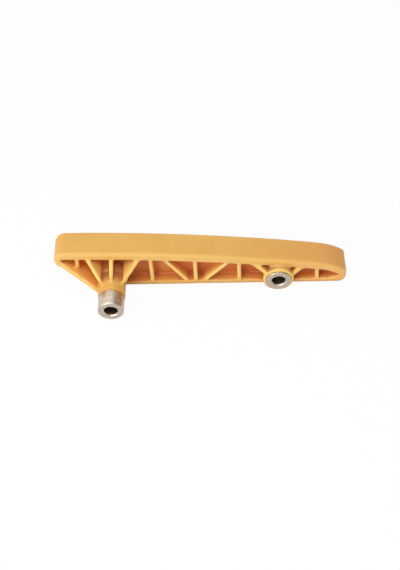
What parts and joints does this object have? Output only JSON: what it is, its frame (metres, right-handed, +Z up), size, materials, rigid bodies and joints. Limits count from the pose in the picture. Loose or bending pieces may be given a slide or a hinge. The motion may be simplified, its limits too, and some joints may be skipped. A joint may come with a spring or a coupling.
{
  "type": "timing chain guide",
  "caption": "Curved plastic timing chain guide: a wide slide face on a ribbed rail, with steel bolt sleeves moulded into a long standoff boss and a short boss.",
  "frame": {"origin": "on the long sleeve's axis, in the middle plane of the rail's width", "axes": "+X along the rail towards the short sleeve and the tail, +Y along the sleeves away from the long standoff, +Z up through the slide face"},
  "size_m": [0.1825, 0.0466, 0.0311],
  "materials": {
    "nylon": "satin moulded",
    "steel": "turned"
  },
  "bodies": {
    "root": {"guide_rail": "nylon", "long_sleeve": "steel", "short_sleeve": "steel"}
  },
  "joints": []
}
